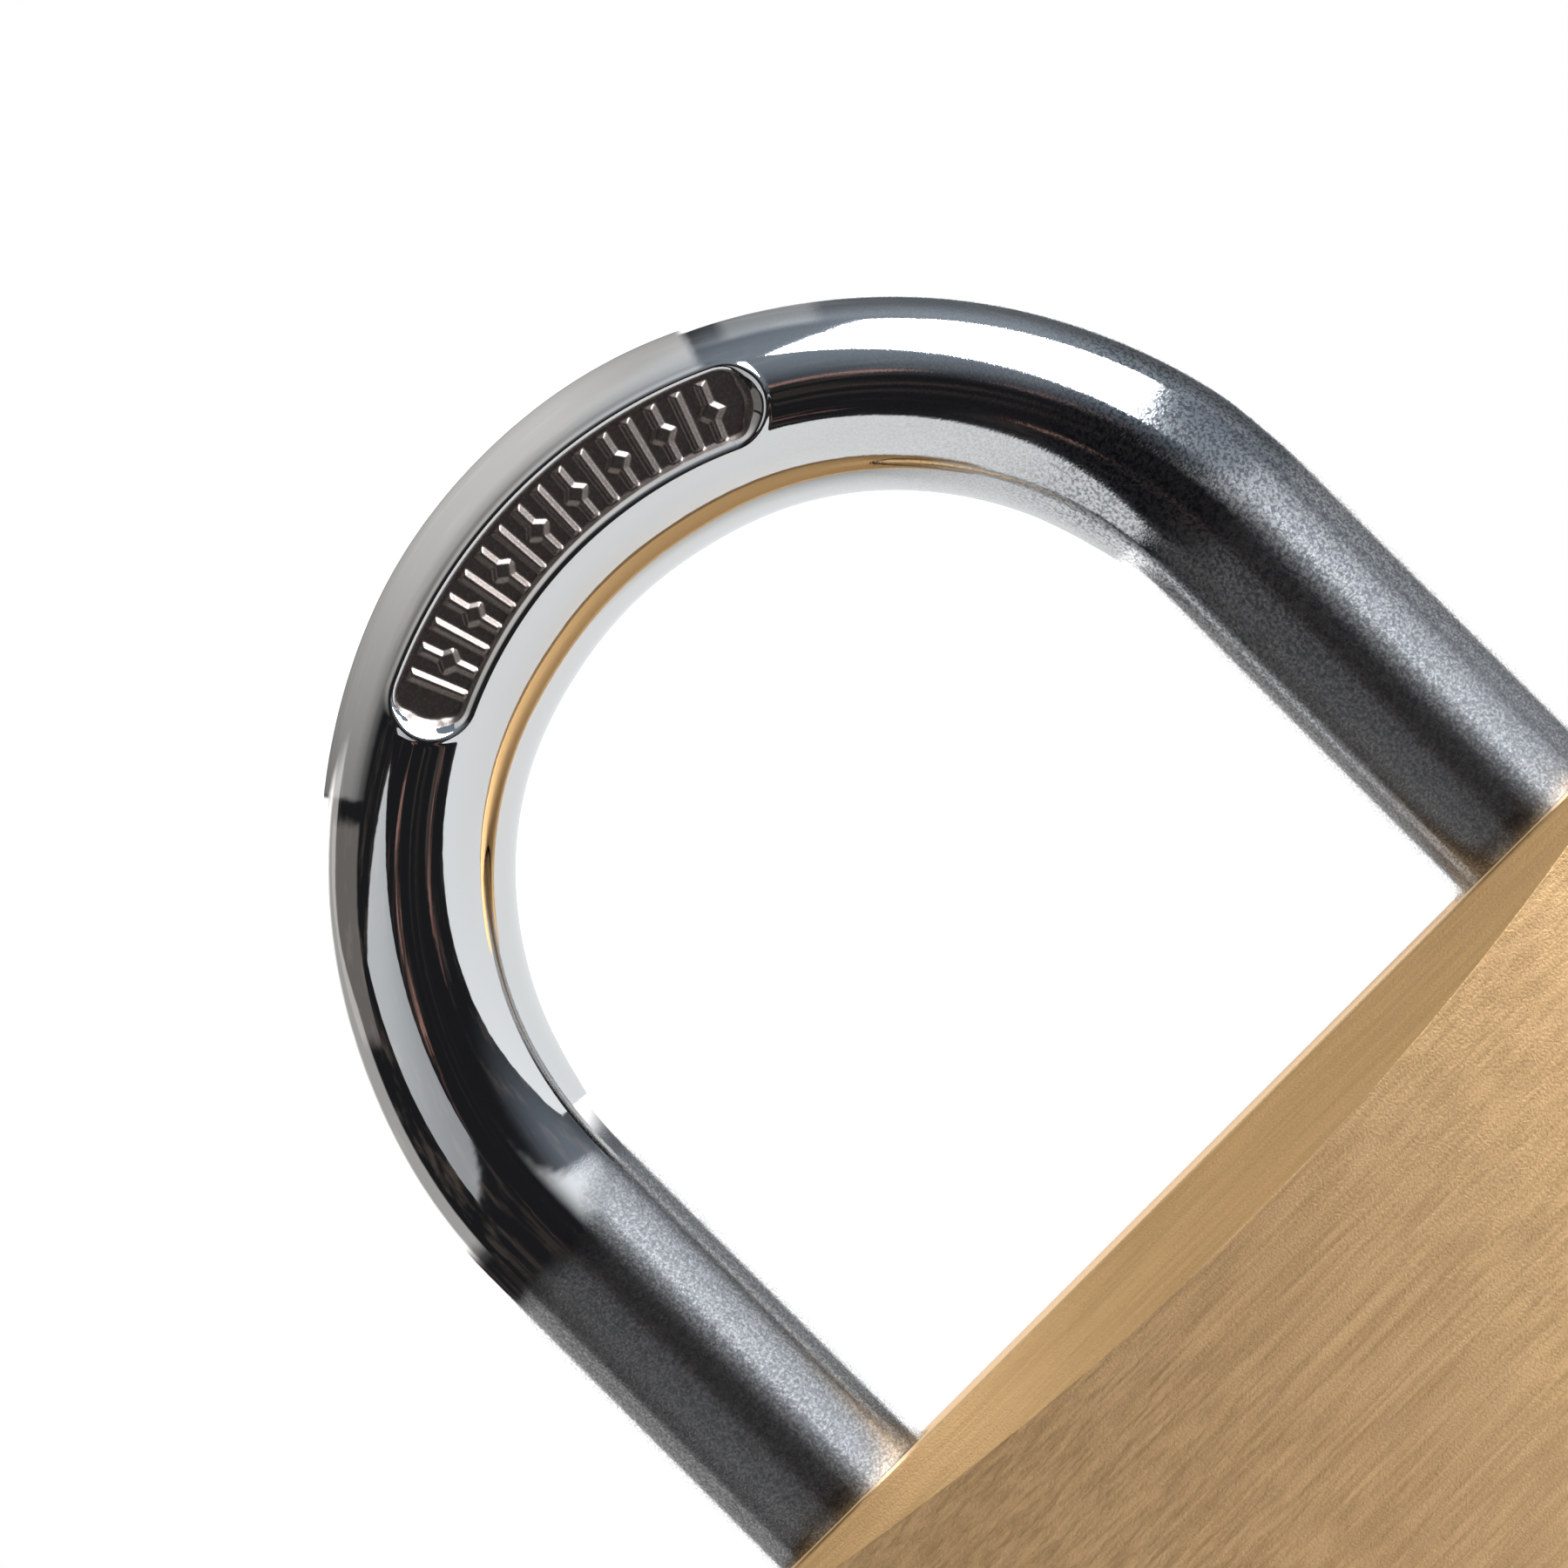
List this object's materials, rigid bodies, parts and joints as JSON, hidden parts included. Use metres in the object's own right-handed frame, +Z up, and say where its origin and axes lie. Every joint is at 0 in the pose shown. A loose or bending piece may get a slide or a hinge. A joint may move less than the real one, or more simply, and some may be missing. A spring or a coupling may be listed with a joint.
{
  "type": "padlock",
  "caption": "Solid brass pin-tumbler padlock with a round hardened steel shackle that lifts and locks at both legs.",
  "frame": {"origin": "middle of the underside of the body", "axes": "+Z up along the legs of the shackle, -Y out of the front face, +X towards the toe leg"},
  "size_m": [0.04, 0.015, 0.0641],
  "materials": {
    "body_brass": "fine brushed, lines across the width",
    "shackle_chrome": "polished chrome plate on steel, satin on the legs",
    "plug_brass": "turned brass",
    "pin_brass": "turned brass, bright",
    "spring_steel": "drawn wire",
    "hard_steel": "ground steel"
  },
  "bodies": {
    "body": {"body_block": "body_brass", "shackle_spring": "spring_steel", "shackle_retaining_pin": "hard_steel", "bolt_spring": "spring_steel", "bolt_bore_plug": "body_brass", "plug_retaining_pin": "hard_steel", "driver_spring_1": "spring_steel", "driver_spring_2": "spring_steel", "driver_spring_3": "spring_steel", "driver_spring_4": "spring_steel", "driver_spring_5": "spring_steel", "chamber_plug_1": "body_brass", "chamber_plug_2": "body_brass", "chamber_plug_3": "body_brass", "chamber_plug_4": "body_brass", "chamber_plug_5": "body_brass"},
    "shackle": {"shackle": "shackle_chrome"},
    "toe_bolt": {"toe_bolt": "hard_steel"},
    "heel_bolt": {"heel_bolt": "hard_steel"},
    "plug": {"plug": "plug_brass", "cam": "hard_steel"},
    "driver_pin_1": {"driver_pin_1": "pin_brass"},
    "key_pin_1": {"key_pin_1": "pin_brass"},
    "driver_pin_2": {"driver_pin_2": "pin_brass"},
    "key_pin_2": {"key_pin_2": "pin_brass"},
    "driver_pin_3": {"driver_pin_3": "pin_brass"},
    "key_pin_3": {"key_pin_3": "pin_brass"},
    "driver_pin_4": {"driver_pin_4": "pin_brass"},
    "key_pin_4": {"key_pin_4": "pin_brass"},
    "driver_pin_5": {"driver_pin_5": "pin_brass"},
    "key_pin_5": {"key_pin_5": "pin_brass"}
  },
  "joints": [
    {"name": "shackle_lift", "type": "slide", "parent": "body", "child": "shackle", "axis": [0, 0, 1], "range_m": [0, 0.0105], "deforming": ["shackle_spring"]},
    {"name": "plug_turn", "type": "hinge", "parent": "body", "child": "plug", "pos_m": [0, 0, 0], "axis": [0, 0, 1], "range_deg": [-90, 0]},
    {"name": "toe_bolt_slide", "type": "slide", "parent": "body", "child": "toe_bolt", "axis": [1, 0, 0], "range_m": [0, 0.0013], "deforming": ["bolt_spring"]},
    {"name": "heel_bolt_slide", "type": "slide", "parent": "body", "child": "heel_bolt", "axis": [-1, 0, 0], "range_m": [0, 0.0013]},
    {"name": "driver_pin_1_slide", "type": "slide", "parent": "body", "child": "driver_pin_1", "axis": [1, 0, 0], "range_m": [0, 0.0012], "stiffness_N_per_m": 100, "springref_m": -0.003, "deforming": ["driver_spring_1"]},
    {"name": "key_pin_1_slide", "type": "slide", "parent": "plug", "child": "key_pin_1", "axis": [0, -1, 0], "range_m": [0, 0.00075]},
    {"name": "driver_pin_2_slide", "type": "slide", "parent": "body", "child": "driver_pin_2", "axis": [1, 0, 0], "range_m": [0, 0.0012], "stiffness_N_per_m": 100, "springref_m": -0.003, "deforming": ["driver_spring_2"]},
    {"name": "key_pin_2_slide", "type": "slide", "parent": "plug", "child": "key_pin_2", "axis": [0, -1, 0], "range_m": [0, 0.00155]},
    {"name": "driver_pin_3_slide", "type": "slide", "parent": "body", "child": "driver_pin_3", "axis": [1, 0, 0], "range_m": [0, 0.0012], "stiffness_N_per_m": 100, "springref_m": -0.003, "deforming": ["driver_spring_3"]},
    {"name": "key_pin_3_slide", "type": "slide", "parent": "plug", "child": "key_pin_3", "axis": [0, -1, 0], "range_m": [0, 0.00045]},
    {"name": "driver_pin_4_slide", "type": "slide", "parent": "body", "child": "driver_pin_4", "axis": [1, 0, 0], "range_m": [0, 0.0012], "stiffness_N_per_m": 100, "springref_m": -0.003, "deforming": ["driver_spring_4"]},
    {"name": "key_pin_4_slide", "type": "slide", "parent": "plug", "child": "key_pin_4", "axis": [0, -1, 0], "range_m": [0, 0.00115]},
    {"name": "driver_pin_5_slide", "type": "slide", "parent": "body", "child": "driver_pin_5", "axis": [1, 0, 0], "range_m": [0, 0.0012], "stiffness_N_per_m": 100, "springref_m": -0.003, "deforming": ["driver_spring_5"]},
    {"name": "key_pin_5_slide", "type": "slide", "parent": "plug", "child": "key_pin_5", "axis": [0, -1, 0], "range_m": [0, 0.00185]}
  ],
  "couplings": [
    {"joint": "toe_bolt_slide", "follows": "plug_turn", "m_per_rad": -0.0008276},
    {"joint": "heel_bolt_slide", "follows": "plug_turn", "m_per_rad": -0.0008276}
  ]
}
